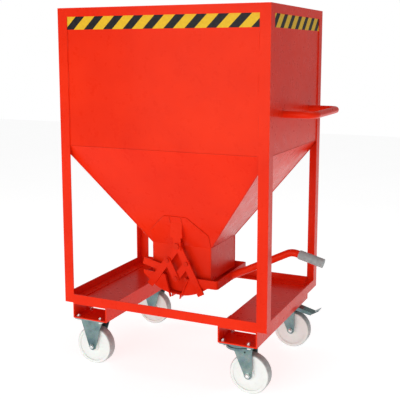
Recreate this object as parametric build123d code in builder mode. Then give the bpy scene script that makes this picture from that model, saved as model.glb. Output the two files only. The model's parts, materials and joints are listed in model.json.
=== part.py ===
from build123d import *
from math import asin, atan2, cos, radians, sin, sqrt, tan
import os

# Mobile gravity hopper container: an angle-steel frame with a sheet bin, a square outlet
# closed by two scissor-linked jaws, a lifting lever, a push handle and four castors.
# Millimetres. +Z is up, +X is the handle side and -Y is the front.
# The origin is on the floor, in the middle of the outline seen from above.

# ---- Driving dimensions ----

# Bin and frame
BIN_LENGTH = 890.0          # along X, over the corner posts
BIN_WIDTH = 650.0           # along Y, over the corner posts
BIN_DEPTH = 543.0           # straight part of the bin, from the rim to the hopper
HOPPER_DEPTH = 414.0        # sloping part
OUTLET_HEIGHT = 243.0       # from the underside of the base rails to the top of the chute
SHEET = 3.0                 # bin, hopper and chute sheet
ANGLE_LEG = 42.0            # leg of the post angles, and the flat leg of the rails
ANGLE_STEEL = 4.0
RAIL_HEIGHT = 36.0
RIM_HEIGHT = 34.0

# Carrier channels
CHANNEL_WIDTH = 160.0
CHANNEL_HEIGHT = 65.0
CHANNEL_STEEL = 5.0
CHANNEL_INSET = 38.0        # from the side of the frame to the channel
FOOT_DEPTH = 125.0          # of the castor plates that close the channel below at each end

# Hazard tape and reinforcing plates
TAPE_WIDTH = 50.0
TAPE_THICKNESS = 0.6
DOUBLER_STEEL = 3.0
DOUBLER_TOP = 100.0         # length of the plate's top edge
DOUBLER_RISE = 131.0        # height of the plate above the chute
DOUBLER_SHOULDER = 56.0     # height at which its sides start to lean in
DOUBLER_LAP = 12.0          # of the plate over the top of the chute

# Push handle
HANDLE_REACH = 130.0        # from the side of the frame to the outside of the bar
HANDLE_TUBE = 27.0
HANDLE_WALL = 2.5
HANDLE_SPREAD = 330.0       # between the two legs, centre to centre
HANDLE_HEIGHT = 400.0       # below the rim
HANDLE_BEND = 38.0

# Chute
CHUTE_LENGTH = 264.0        # along X
CHUTE_WIDTH = 256.0         # along Y
CHUTE_SIDE_GAP = 12.0       # between the side walls' lower edge and the jaw pans
SEAL_GAP = 4.0              # between the front wall's round edge and the jaw pans

# Jaws
PIVOT_RISE = 6.0            # of the main pivot above the top of the chute
PAN_RADIUS = 212.0          # outside of the jaw pans, about the main pivot
PAN_STEEL = 4.0
PAN_SPAN = 47.0             # degrees, from the seam to the outer end
SEAM_GAP = 1.5
LIP_DEPTH = 12.0            # stiffening lip under each pan
LIP_OFFSET = 16.0           # from the seam
JAW_CLEARANCE = 24.0        # from the chute's front wall to the jaw's end plates
PLATE_DROP = 133.0          # of the end plates' top edge below the main pivot
PLATE_CORNER = 52.0         # of their upper inner corner from the seam
PLATE_LIP = 7.0

# Scissor
SCISSOR_LEAN = 4.0          # degrees, of the whole scissor and both jaws, to the left
BAR_ANGLE = 32.0            # of the long bars from the scissor's middle line, closed
BAR_LENGTH = 224.0
BAR_WIDTH = 29.0
BAR_STEEL = 6.0
LINK_LENGTH = 82.0
LINK_WIDTH = 28.0
LINK_STEEL = 5.0
ARM_ROOT = 128.0            # of the left jaw's short arm, along the long bar
ARM_LENGTH = 92.0
ARM_RISE = 9.5              # degrees above square to the scissor's middle line
LAYER_GAP = 0.5             # between flat pieces that slide past each other
PIVOT_PIN = 8.0             # radius
LINK_PIN = 6.0              # radius
RUNNING_FIT = 0.05          # radial
OPEN_FIT = 0.5              # radial, at the pivot where the two links meet
HEAD_HEIGHT = 6.0
PIVOT_HEAD = 12.8           # radius of the main pivot's hexagon, over its corners
PIVOT_HEAD_HEIGHT = 8.0
PIN_HEAD = 9.0              # radius

# Hanger and stop
HANGER_WIDTH = 52.0
HANGER_FOOT = 36.0          # of the hanger's lower edge above the main pivot
HANGER_STEEL = 4.0
TAB_WIDTH = 34.0
TAB_FOOT = 18.0             # of the tab's lower edge below the main pivot
STOP_RADIUS = 7.0
STOP_DROP = 138.0           # below the main pivot
STOP_GAP = 0.5

# Yoke, lever and grip
YOKE_REACH = 175.0          # outside of the yoke, from the seam
YOKE_TOP = 131.0            # below the main pivot
YOKE_HEIGHT = 35.0
YOKE_START = 80.0           # of the yoke's legs, from the seam
YOKE_BEND = 12.0            # outside radius of its corners
LEVER_TUBE = 30.0
LEVER_WALL = 2.5
LEVER_RISE = 27.0           # degrees
LEVER_DIP = 14.5            # degrees, after the bend
LEVER_BEND_IN = 12.0        # of the bend from the side of the frame, inward
LEVER_BEND = 60.0
LEVER_REACH = 117.0         # of the grip's end beyond the side of the frame
GRIP_RADIUS = 19.0
GRIP_LENGTH = 102.0
GRIP_RIBS = 13
GRIP_RIB_DEPTH = 1.2

# Castors
CASTOR_HEIGHT = 205.0
WHEEL_RADIUS = 80.0
WHEEL_WIDTH = 44.0
WHEEL_ROUNDING = 7.0        # of the tread's edges
WHEEL_RIM = 14.0
WHEEL_WEB = 37.0
HUB_RADIUS = 22.0
HUB_WIDTH = 56.0
AXLE_RADIUS = 6.0
AXLE_HEAD = 10.2            # radius over the corners
PLATE_LENGTH = 140.0
PLATE_WIDTH = 116.0
PLATE_STEEL = 6.0
BOLT_SPACING_X = 105.0
BOLT_SPACING_Y = 96.0
BOLT_RADIUS = 5.0
BOLT_FIT = 0.5
BOLT_HEAD = 9.0             # radius over the flats
FORK_STEEL = 5.0
FORK_GAP = 1.0              # between the hub and each fork leg
FORK_FLARE = 4.0            # how far the legs' pressed wings stand out at their edge
FIXED_WING = 52.0           # from the axle to the fixed legs' upper corners
SWIVEL_WING = 61.0          # from the axle to the swivel legs' upper corner, kingpin side
FORK_EYE = 16.0
CASTOR_END_INSET = 63.0     # from the front or rear of the frame to the wheel's middle
TRAIL = 43.0
KINGPIN_OFFSET = -10.0      # of the swivel castors from the middle of the channel
FIXED_OFFSET = -10.0
RACE_RADIUS = 54.0
CROWN_MARGIN = 4.0          # of the crown beyond the race
RACE_HEIGHT = 9.0
RACE_GAP = 0.5
KINGPIN_RADIUS = 8.0
KINGPIN_HEAD = 13.6         # radius
PEDAL_PIN = 4.0
PEDAL_PIN_X = 30.0          # from the kingpin
PEDAL_PIN_Z = 171.0
PEDAL_WIDTH = 46.0
PEDAL_STEEL = 4.0
PEDAL_ARM = 34.0            # length of the level arm under the crown
PEDAL_KNEE = 10.0           # length of the step up to the tread
PEDAL_STEP = 13.0           # height of that step
TREAD_LENGTH = 65.0
TREAD_DROP = 18.0
TREAD_LIP = 27.0            # length of the turned-up toe
TREAD_RISE = 17.0
CHEEK_DEPTH = 9.0           # of the tread's side plates below it
SHOE_LENGTH = 14.0
SHOE_WIDTH = 30.0
SHOE_Z = 165.0              # underside of the brake shoe

# ---- Levels and places worked out from them ----

BIN_X = -HANDLE_REACH / 2
FLOOR = Plane((BIN_X, 0, 0))
BASE_Z = CASTOR_HEIGHT + CHANNEL_HEIGHT
CHUTE_TOP_Z = BASE_Z + OUTLET_HEIGHT
FOLD_Z = CHUTE_TOP_Z + HOPPER_DEPTH
TOP_Z = FOLD_Z + BIN_DEPTH
PIVOT_Z = CHUTE_TOP_Z + PIVOT_RISE

HALF_LENGTH = BIN_LENGTH / 2
HALF_WIDTH = BIN_WIDTH / 2
WALL_X = HALF_LENGTH - ANGLE_STEEL
WALL_Y = HALF_WIDTH - ANGLE_STEEL
CHUTE_X = CHUTE_LENGTH / 2
CHUTE_Y = CHUTE_WIDTH / 2
SLOPE = (WALL_Y - CHUTE_Y) / HOPPER_DEPTH

# Distances of the scissor's layers in front of the middle plane
JAW_INNER = CHUTE_Y + JAW_CLEARANCE
JAW_OUTER = JAW_INNER + PAN_STEEL
BACK_LAYER = JAW_OUTER
FRONT_LAYER = BACK_LAYER + BAR_STEEL
TAB_LAYER = FRONT_LAYER + BAR_STEEL + LAYER_GAP
HANGER_LAYER = TAB_LAYER + BAR_STEEL

# Seen from the front with the main pivot at (0, 0): X to the right, Z up
OUTLET = Plane((BIN_X, 0, PIVOT_Z), x_dir=(1, 0, 0), z_dir=(0, -1, 0))
ARM = radians(BAR_ANGLE)
# The same plane turned with the scissor: everything that moves with it is drawn here
LEAN = radians(SCISSOR_LEAN)
ARM_TILT = radians(ARM_RISE)
SCISSOR = Plane((BIN_X, 0, PIVOT_Z), x_dir=(cos(LEAN), 0, -sin(LEAN)), z_dir=(0, -1, 0))
CENTRE_PIVOT = (0, -2 * LINK_LENGTH * cos(ARM))
PAN_INNER = PAN_RADIUS - PAN_STEEL
LIP_BOTTOM = PAN_RADIUS + LIP_DEPTH

# The outside of the reinforced front hopper wall, facing out and down
SLOPE_FACE = Plane(
    (BIN_X, -CHUTE_Y - DOUBLER_STEEL, CHUTE_TOP_Z), x_dir=(1, 0, 0), z_dir=(0, -1, -SLOPE)
)

CHANNEL_X = HALF_LENGTH - CHANNEL_INSET - CHANNEL_WIDTH / 2
CASTOR_Y = HALF_WIDTH - CASTOR_END_INSET
FORK_INNER = HUB_WIDTH / 2 + FORK_GAP
FORK_OUTER = FORK_INNER + FORK_STEEL
PLATE_BOTTOM = CASTOR_HEIGHT - PLATE_STEEL
FIXED_X = FIXED_OFFSET - CHANNEL_X
SWIVEL_X = CHANNEL_X + KINGPIN_OFFSET
RACE_BOTTOM = PLATE_BOTTOM - RACE_HEIGHT
CROWN_TOP = RACE_BOTTOM - RACE_GAP
CROWN_BOTTOM = CROWN_TOP - RACE_HEIGHT

os.makedirs("parts", exist_ok=True)


def finish(builder, name):
    """Label a finished piece and write it to its own file."""
    builder.part.label = name
    export_step(builder.part, f"parts/{name}.step")


# ---- Frame ----

def corner_post(name, side_x, side_y):
    """A steel angle standing at one corner, with its own corner outward."""
    plane = Plane(
        (BIN_X + side_x * HALF_LENGTH, side_y * HALF_WIDTH, BASE_Z), x_dir=(-side_x, 0, 0),
        z_dir=(0, 0, side_x * side_y),
    )
    with BuildPart() as post:
        with BuildSketch(plane):
            with BuildLine():
                Polyline(
                    (0, 0), (ANGLE_LEG, 0), (ANGLE_LEG, ANGLE_STEEL), (ANGLE_STEEL, ANGLE_STEEL),
                    (ANGLE_STEEL, ANGLE_LEG), (0, ANGLE_LEG), close=True,
                )
            make_face()
        extrude(amount=side_x * side_y * (TOP_Z - BASE_Z))
    finish(post, name)


def edge_angle(name, side_x, side_y, low, height, flange_low):
    """An angle between two posts: an upright leg, and a flat leg that points into the bin."""
    along_x = side_x == 0
    half_span = (HALF_LENGTH if along_x else HALF_WIDTH) - ANGLE_LEG
    flange_span = WALL_X if along_x else HALF_WIDTH - ANGLE_LEG
    outside = HALF_WIDTH if along_x else HALF_LENGTH
    side = side_y if along_x else side_x
    upright = (half_span, outside, outside - ANGLE_STEEL, low, height)
    flange = (flange_span, outside - ANGLE_STEEL, outside - ANGLE_LEG, flange_low, ANGLE_STEEL)
    with BuildPart() as angle:
        for reach, outer, inner, bottom, tall in (upright, flange):
            middle = side * (outer + inner) / 2
            with BuildSketch(FLOOR.offset(bottom)):
                with Locations((0, middle) if along_x else (middle, 0)):
                    thick = outer - inner
                    Rectangle(2 * reach if along_x else thick, thick if along_x else 2 * reach)
            extrude(amount=tall)
    finish(angle, name)


def carrier_channel(name, side):
    """A channel, open downward, from front to rear, with a plate under each end for a castor."""
    inner_width = CHANNEL_WIDTH - 2 * CHANNEL_STEEL
    middle_x = BIN_X + side * CHANNEL_X
    castor_x = middle_x + (FIXED_OFFSET if side < 0 else KINGPIN_OFFSET)
    foot_y = HALF_WIDTH - FOOT_DEPTH / 2
    with BuildPart() as channel:
        with BuildSketch(Plane((middle_x, 0, CASTOR_HEIGHT), x_dir=(1, 0, 0), z_dir=(0, -1, 0))):
            with Locations((0, CHANNEL_HEIGHT / 2)):
                Rectangle(CHANNEL_WIDTH, CHANNEL_HEIGHT)
            with Locations((0, (CHANNEL_HEIGHT - CHANNEL_STEEL) / 2)):
                Rectangle(inner_width, CHANNEL_HEIGHT - CHANNEL_STEEL, mode=Mode.SUBTRACT)
        extrude(amount=HALF_WIDTH, both=True)
        inside = channel.edges().filter_by(Axis.Y).group_by(Axis.Z)[-2]
        fillet(inside, CHANNEL_STEEL / 2)
        with BuildSketch(Plane((middle_x, 0, CASTOR_HEIGHT))):
            with Locations((0, -foot_y), (0, foot_y)):
                Rectangle(inner_width, FOOT_DEPTH)
        extrude(amount=CHANNEL_STEEL)
        foot_top = Plane((castor_x, 0, CASTOR_HEIGHT + CHANNEL_STEEL))
        with Locations(foot_top):
            with Locations((0, -CASTOR_Y), (0, CASTOR_Y)):
                with GridLocations(BOLT_SPACING_X, BOLT_SPACING_Y, 2, 2):
                    Hole(BOLT_RADIUS + BOLT_FIT, depth=CHANNEL_STEEL)
    finish(channel, name)


SIDES = ((0, -1, "front"), (0, 1, "rear"), (-1, 0, "left"), (1, 0, "right"))

for side_y, end in ((-1, "front"), (1, "rear")):
    for side_x, word in ((-1, "left"), (1, "right")):
        corner_post(f"post_{end}_{word}", side_x, side_y)

for side_x, side_y, place in SIDES:
    edge_angle(f"rail_{place}", side_x, side_y, BASE_Z, RAIL_HEIGHT, BASE_Z)
    edge_angle(f"rim_{place}", side_x, side_y, TOP_Z - RIM_HEIGHT, RIM_HEIGHT, TOP_Z - ANGLE_STEEL)

carrier_channel("channel_left", -1)
carrier_channel("channel_right", 1)

# ---- Bin, hopper and chute ----

WALL_TOP_Z = TOP_Z - ANGLE_STEEL


def bin_wall(name, side_x, side_y):
    """One upright sheet; the front and rear sheets cover the ends of the side sheets."""
    if side_x == 0:
        centre, size = (0, side_y * (WALL_Y - SHEET / 2)), (2 * WALL_X, SHEET)
    else:
        centre, size = (side_x * (WALL_X - SHEET / 2), 0), (SHEET, 2 * (WALL_Y - SHEET))
    with BuildPart() as wall:
        with BuildSketch(FLOOR.offset(FOLD_Z)):
            with Locations(centre):
                Rectangle(*size)
        extrude(amount=WALL_TOP_Z - FOLD_Z)
    finish(wall, name)


def wall_strip(half_x, half_y, side_x, side_y):
    """Corners of one side of a rectangular ring of sheet, mitred at both ends."""
    in_x, in_y = half_x - SHEET, half_y - SHEET
    if side_x == 0:
        outer = [(-half_x, side_y * half_y), (half_x, side_y * half_y)]
        return outer + [(in_x, side_y * in_y), (-in_x, side_y * in_y)]
    outer = [(side_x * half_x, -half_y), (side_x * half_x, half_y)]
    return outer + [(side_x * in_x, in_y), (side_x * in_x, -in_y)]


def hopper_wall(name, side_x, side_y):
    """One sloping sheet, mitred to its neighbours."""
    with BuildPart() as wall:
        for height, half_x, half_y in ((CHUTE_TOP_Z, CHUTE_X, CHUTE_Y), (FOLD_Z, WALL_X, WALL_Y)):
            with BuildSketch(FLOOR.offset(height)):
                with BuildLine():
                    Polyline(*wall_strip(half_x, half_y, side_x, side_y), close=True)
                make_face()
        loft(ruled=True)
    finish(wall, name)


for side_x, side_y, place in SIDES:
    bin_wall(f"wall_{place}", side_x, side_y)
    hopper_wall(f"hopper_{place}", side_x, side_y)


def chute_end(name, side_y):
    """Front or rear chute wall, its lower edge rounded to follow the jaw pans."""
    radius = PAN_INNER - SEAL_GAP
    edge_drop = sqrt(radius**2 - CHUTE_X**2)
    with BuildPart() as wall:
        with BuildSketch(OUTLET.offset(-side_y * CHUTE_Y)):
            with BuildLine():
                Polyline(
                    (-CHUTE_X, -edge_drop), (-CHUTE_X, -PIVOT_RISE),
                    (CHUTE_X, -PIVOT_RISE), (CHUTE_X, -edge_drop),
                )
                ThreePointArc((CHUTE_X, -edge_drop), (0, -radius), (-CHUTE_X, -edge_drop))
            make_face()
        extrude(amount=side_y * SHEET)
    finish(wall, name)


def chute_side(name, side_x):
    """Left or right chute wall, between the front and rear ones, as deep as the jaw pans allow."""
    depth = sqrt((PAN_INNER - CHUTE_SIDE_GAP) ** 2 - CHUTE_X**2) - PIVOT_RISE
    with BuildPart() as wall:
        with BuildSketch(FLOOR.offset(CHUTE_TOP_Z)):
            with Locations((side_x * (CHUTE_X - SHEET / 2), 0)):
                Rectangle(SHEET, 2 * (CHUTE_Y - SHEET))
        extrude(amount=-depth)
    finish(wall, name)


chute_end("chute_front", -1)
chute_end("chute_rear", 1)
chute_side("chute_left", -1)
chute_side("chute_right", 1)

# Reinforcing plates on the lower hopper, front and rear, bent down over the top of the chute
with BuildPart() as doublers:
    outer_y = CHUTE_Y + DOUBLER_STEEL
    lean_out = DOUBLER_RISE * SLOPE
    with BuildSketch(Plane((BIN_X, 0, CHUTE_TOP_Z), x_dir=(0, -1, 0), z_dir=(-1, 0, 0))):
        with BuildLine():
            Polyline(
                (CHUTE_Y, -DOUBLER_LAP), (outer_y, -DOUBLER_LAP), (outer_y, 0),
                (outer_y + lean_out, DOUBLER_RISE), (CHUTE_Y + lean_out, DOUBLER_RISE),
                (CHUTE_Y, 0), close=True,
            )
        make_face()
    extrude(amount=CHUTE_X, both=True)
    with BuildSketch(Plane((BIN_X, 0, CHUTE_TOP_Z), x_dir=(1, 0, 0), z_dir=(0, -1, 0))):
        with BuildLine():
            Polyline(
                (-CHUTE_X, -DOUBLER_LAP), (CHUTE_X, -DOUBLER_LAP), (CHUTE_X, DOUBLER_SHOULDER),
                (DOUBLER_TOP / 2, DOUBLER_RISE), (-DOUBLER_TOP / 2, DOUBLER_RISE),
                (-CHUTE_X, DOUBLER_SHOULDER), close=True,
            )
        make_face()
    extrude(amount=HALF_WIDTH, mode=Mode.INTERSECT)
    mirror(about=Plane.XZ)
finish(doublers, "doubler_plates")

# Hazard tape between the posts, on all four sides
with BuildPart() as tape:
    tape_x = HALF_LENGTH - ANGLE_LEG
    tape_y = HALF_WIDTH - ANGLE_LEG
    with BuildSketch(FLOOR.offset(TOP_Z - RIM_HEIGHT - TAPE_WIDTH)):
        for side in (-1, 1):
            with Locations((0, side * (WALL_Y + TAPE_THICKNESS / 2))):
                Rectangle(2 * tape_x, TAPE_THICKNESS)
            with Locations((side * (WALL_X + TAPE_THICKNESS / 2), 0)):
                Rectangle(TAPE_THICKNESS, 2 * tape_y)
    extrude(amount=TAPE_WIDTH)
finish(tape, "hazard_tape")

# ---- Push handle ----

HANDLE_Z = TOP_Z - HANDLE_HEIGHT
with BuildPart() as push_handle:
    bar_x = HALF_LENGTH + HANDLE_REACH - HANDLE_TUBE / 2
    leg_y = HANDLE_SPREAD / 2
    with BuildLine(FLOOR.offset(HANDLE_Z)) as path:
        FilletPolyline(
            (WALL_X, -leg_y), (bar_x, -leg_y), (bar_x, leg_y), (WALL_X, leg_y), radius=HANDLE_BEND
        )
    with BuildSketch(Plane((BIN_X + WALL_X, -leg_y, HANDLE_Z), z_dir=(1, 0, 0))):
        Circle(HANDLE_TUBE / 2)
        Circle(HANDLE_TUBE / 2 - HANDLE_WALL, mode=Mode.SUBTRACT)
    sweep()
finish(push_handle, "push_handle")

# ---- Outlet hangers, main pivot bolts and stop bolts ----

with BuildPart() as hangers:
    with BuildSketch(OUTLET.offset(TAB_LAYER)):
        with Locations((0, (DOUBLER_RISE - TAB_FOOT) / 2)):
            Rectangle(TAB_WIDTH, DOUBLER_RISE + TAB_FOOT)
        Circle(PIVOT_PIN, mode=Mode.SUBTRACT)
    extrude(amount=BAR_STEEL)
    with BuildSketch(OUTLET.offset(HANGER_LAYER)):
        with Locations((0, (HANGER_FOOT + DOUBLER_RISE) / 2)):
            Rectangle(HANGER_WIDTH, DOUBLER_RISE - HANGER_FOOT)
    extrude(amount=BAR_STEEL)
    with BuildSketch(OUTLET.offset(HANGER_LAYER)):
        for side in (-1, 1):
            cheek_x = side * (HANGER_WIDTH - HANGER_STEEL) / 2
            with Locations((cheek_x, (HANGER_FOOT + DOUBLER_RISE) / 2)):
                Rectangle(HANGER_STEEL, DOUBLER_RISE - HANGER_FOOT)
    extrude(amount=CHUTE_Y - HANGER_LAYER)
    split(bisect_by=SLOPE_FACE, keep=Keep.TOP)
    mirror(about=Plane.XZ)
finish(hangers, "outlet_hangers")

with BuildPart() as pivot_bolts:
    boss = OUTLET.offset(CHUTE_Y + DOUBLER_STEEL)
    with BuildSketch(boss):
        Circle(BAR_WIDTH / 2)
    extrude(amount=BACK_LAYER - LAYER_GAP - CHUTE_Y - DOUBLER_STEEL)
    with BuildSketch(boss):
        Circle(PIVOT_PIN)
    extrude(amount=HANGER_LAYER - CHUTE_Y - DOUBLER_STEEL)
    with BuildSketch(OUTLET.offset(HANGER_LAYER)):
        RegularPolygon(PIVOT_HEAD, 6)
    extrude(amount=PIVOT_HEAD_HEIGHT)
    split(bisect_by=SLOPE_FACE, keep=Keep.TOP)
    mirror(about=Plane.XZ)
finish(pivot_bolts, "pivot_bolts")

# The stop stands just inside the right jaw's slanted inner edge
EDGE_LEAN = atan2(PLATE_CORNER - LIP_OFFSET - PAN_STEEL, LIP_BOTTOM - PLATE_DROP)
EDGE_X = PLATE_CORNER - (STOP_DROP - PLATE_DROP) * tan(EDGE_LEAN)
STOP_X = EDGE_X - (STOP_RADIUS + STOP_GAP) / cos(EDGE_LEAN)

with BuildPart() as stop_bolts:
    with BuildSketch(SCISSOR.offset(CHUTE_Y)):
        with Locations((STOP_X, -STOP_DROP)):
            Circle(STOP_RADIUS)
    extrude(amount=JAW_OUTER + PLATE_LIP - CHUTE_Y)
    mirror(about=Plane.XZ)
finish(stop_bolts, "stop_bolts")

# ---- Jaws ----


def on_ring(radius, side, angle):
    """A point at an angle from straight below the main pivot."""
    return side * radius * sin(angle), -radius * cos(angle)


def jaw_pan(name, side):
    """Curved bottom plate about the main pivot, with a stiffening lip beside the seam."""
    seam = asin(SEAM_GAP / 2 / PAN_INNER)
    span = radians(PAN_SPAN)
    middle = (seam + span) / 2
    with BuildPart() as pan:
        with BuildSketch(SCISSOR):
            with BuildLine():
                ThreePointArc(*[on_ring(PAN_INNER, side, a) for a in (seam, middle, span)])
                Line(on_ring(PAN_INNER, side, span), on_ring(PAN_RADIUS, side, span))
                ThreePointArc(*[on_ring(PAN_RADIUS, side, a) for a in (span, middle, seam)])
                Line(on_ring(PAN_RADIUS, side, seam), on_ring(PAN_INNER, side, seam))
            make_face()
            with Locations((side * (LIP_OFFSET + PAN_STEEL / 2), -(LIP_BOTTOM + PAN_INNER) / 2)):
                Rectangle(PAN_STEEL, LIP_BOTTOM - PAN_INNER)
        extrude(amount=JAW_INNER, both=True)
    finish(pan, name)


def jaw_plates(name, side):
    """Front and rear end plates of a jaw, each with a lip along its slanted inner edge."""
    top_inner = (side * PLATE_CORNER, -PLATE_DROP)
    foot = (side * (LIP_OFFSET + PAN_STEEL), -LIP_BOTTOM)
    outer_x = side * PAN_RADIUS * sin(radians(PAN_SPAN))
    lip_step = side * PAN_STEEL / cos(EDGE_LEAN)
    with BuildPart() as plates:
        with BuildSketch(SCISSOR.offset(JAW_INNER)):
            with BuildLine():
                Polyline(top_inner, (outer_x, -PLATE_DROP), (outer_x, -LIP_BOTTOM), foot, close=True)
            make_face()
            Circle(PAN_RADIUS, mode=Mode.INTERSECT)
        extrude(amount=PAN_STEEL)
        with BuildSketch(SCISSOR.offset(JAW_INNER)):
            with BuildLine():
                Polyline(
                    top_inner, (top_inner[0] + lip_step, top_inner[1]),
                    (foot[0] + lip_step, foot[1]), foot, close=True,
                )
            make_face()
        extrude(amount=PAN_STEEL + PLATE_LIP)
        mirror(about=Plane.XZ)
    finish(plates, name)


def long_bars(name, side, layer):
    """The jaw's two long scissor bars, bored for the main pivot and drilled for the link pin."""
    end = on_ring(BAR_LENGTH, side, ARM)
    link = on_ring(LINK_LENGTH, side, ARM)
    with BuildPart() as bars:
        with BuildSketch(SCISSOR.offset(layer)):
            Circle(BAR_WIDTH / 2)
            with Locations(Location((end[0] / 2, end[1] / 2, 0), (0, 0, 1), side * BAR_ANGLE)):
                Rectangle(BAR_WIDTH, BAR_LENGTH)
            Circle(PIVOT_PIN + RUNNING_FIT, mode=Mode.SUBTRACT)
            with Locations(link):
                Circle(LINK_PIN, mode=Mode.SUBTRACT)
        extrude(amount=BAR_STEEL)
        mirror(about=Plane.XZ)
    finish(bars, name)


def jaw_arm(name, side):
    """A short flat arm behind the long bar, above the end plate, that stands out past the jaw."""
    root = on_ring(ARM_ROOT, side, ARM)
    middle = (root[0] + side * ARM_LENGTH / 2 * cos(ARM_TILT), root[1] + ARM_LENGTH / 2 * sin(ARM_TILT))
    with BuildPart() as arm:
        with BuildSketch(SCISSOR.offset(JAW_INNER)):
            with Locations(Location((*middle, 0), (0, 0, 1), side * ARM_RISE)):
                Rectangle(ARM_LENGTH, BAR_WIDTH)
        extrude(amount=PAN_STEEL)
        mirror(about=Plane.XZ)
    finish(arm, name)


def link_pins(name, side, low, high):
    """Pins with round heads, front and rear, that carry a pair of short links."""
    with BuildPart() as pins:
        with BuildSketch(SCISSOR.offset(low)):
            with Locations(on_ring(LINK_LENGTH, side, ARM)):
                Circle(LINK_PIN)
        extrude(amount=high - low)
        heads = [(high, HEAD_HEIGHT)]
        if side > 0:
            heads.append((low, -HEAD_HEIGHT))
        for start, tall in heads:
            with BuildSketch(SCISSOR.offset(start)):
                with Locations(on_ring(LINK_LENGTH, side, ARM)):
                    Circle(PIN_HEAD)
            extrude(amount=tall)
        mirror(about=Plane.XZ)
    finish(pins, name)


def short_links(name, side, layer, centre_radius):
    """Two short links with round ends, from the long bars to the centre pins."""
    start = on_ring(LINK_LENGTH, side, ARM)
    middle = ((start[0] + CENTRE_PIVOT[0]) / 2, (start[1] + CENTRE_PIVOT[1]) / 2)
    with BuildPart() as links:
        with BuildSketch(SCISSOR.offset(layer)):
            with Locations(start, CENTRE_PIVOT):
                Circle(LINK_WIDTH / 2)
            with Locations(Location((*middle, 0), (0, 0, 1), -side * BAR_ANGLE)):
                Rectangle(LINK_WIDTH, LINK_LENGTH)
            with Locations(start):
                Circle(LINK_PIN + RUNNING_FIT, mode=Mode.SUBTRACT)
            with Locations(CENTRE_PIVOT):
                Circle(centre_radius, mode=Mode.SUBTRACT)
        extrude(amount=LINK_STEEL)
        mirror(about=Plane.XZ)
    finish(links, name)


LEFT_LINK_LAYER = FRONT_LAYER + LAYER_GAP
RIGHT_LINK_LAYER = BACK_LAYER + LAYER_GAP

for side, word in ((-1, "left"), (1, "right")):
    jaw_pan(f"jaw_pan_{word}", side)
    jaw_plates(f"jaw_plates_{word}", side)

long_bars("scissor_bars_left", -1, BACK_LAYER)
long_bars("scissor_bars_right", 1, FRONT_LAYER)
jaw_arm("jaw_arm_left", -1)
link_pins("link_pins_left", -1, BACK_LAYER, LEFT_LINK_LAYER + LINK_STEEL + LAYER_GAP)
link_pins("link_pins_right", 1, BACK_LAYER, FRONT_LAYER + BAR_STEEL)
short_links("scissor_links_left", -1, LEFT_LINK_LAYER, LINK_PIN)
short_links("scissor_links_right", 1, RIGHT_LINK_LAYER, LINK_PIN + OPEN_FIT)

with BuildPart() as centre_pins:
    with BuildSketch(SCISSOR.offset(BACK_LAYER - LAYER_GAP)):
        with Locations(CENTRE_PIVOT):
            Circle(LINK_PIN)
    extrude(amount=LEFT_LINK_LAYER + LINK_STEEL - BACK_LAYER + LAYER_GAP)
    front_head = (LEFT_LINK_LAYER + LINK_STEEL, HEAD_HEIGHT)
    back_head = (BACK_LAYER - LAYER_GAP, -HEAD_HEIGHT)
    for start, tall in (front_head, back_head):
        with BuildSketch(SCISSOR.offset(start)):
            with Locations(CENTRE_PIVOT):
                Circle(PIN_HEAD)
        extrude(amount=tall)
    mirror(about=Plane.XZ)
finish(centre_pins, "centre_pins")

# ---- Yoke, lever and grip, all on the right jaw ----

YOKE_Z = PIVOT_Z - YOKE_TOP - YOKE_HEIGHT
YOKE_LAYER = JAW_OUTER + BAR_STEEL

with BuildPart() as yoke:
    with BuildSketch(FLOOR.offset(YOKE_Z)):
        with Locations(((YOKE_START + YOKE_REACH) / 2, 0)):
            Rectangle(YOKE_REACH - YOKE_START, 2 * YOKE_LAYER)
        with Locations(((YOKE_START + YOKE_REACH) / 2 - BAR_STEEL, 0)):
            Rectangle(YOKE_REACH - YOKE_START, 2 * JAW_OUTER, mode=Mode.SUBTRACT)
        with Locations((YOKE_START, 0)):
            Rectangle(2 * BAR_STEEL, 2 * JAW_OUTER, mode=Mode.SUBTRACT)
    extrude(amount=YOKE_HEIGHT)
    corners = yoke.edges().filter_by(Axis.Z).group_by(Axis.X)
    fillet(corners[-1], YOKE_BEND)
finish(yoke, "yoke")

RISE = radians(LEVER_RISE)
DIP = radians(LEVER_DIP)
LEVER_FOOT = (YOKE_REACH, -YOKE_TOP - YOKE_HEIGHT / 2)
BEND_X = HALF_LENGTH - LEVER_BEND_IN
LEVER_CORNER = (BEND_X, LEVER_FOOT[1] + (BEND_X - YOKE_REACH) * tan(RISE))
END_X = HALF_LENGTH + LEVER_REACH
LEVER_END = (END_X, LEVER_CORNER[1] - (END_X - BEND_X) * tan(DIP))
# The tube starts inside the yoke and is cut off flush with its outside
LEVER_ROOT = (YOKE_REACH - LEVER_TUBE * tan(RISE), LEVER_FOOT[1] - LEVER_TUBE * tan(RISE) ** 2)

with BuildPart() as lever:
    with BuildLine(OUTLET) as lever_path:
        FilletPolyline(LEVER_ROOT, LEVER_CORNER, LEVER_END, radius=LEVER_BEND)
    with BuildSketch(Plane(lever_path.line @ 0, z_dir=lever_path.line % 0)):
        Circle(LEVER_TUBE / 2)
        Circle(LEVER_TUBE / 2 - LEVER_WALL, mode=Mode.SUBTRACT)
    sweep()
    split(bisect_by=Plane((BIN_X + YOKE_REACH, 0, 0), z_dir=(1, 0, 0)), keep=Keep.TOP)
finish(lever, "lever")

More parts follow.
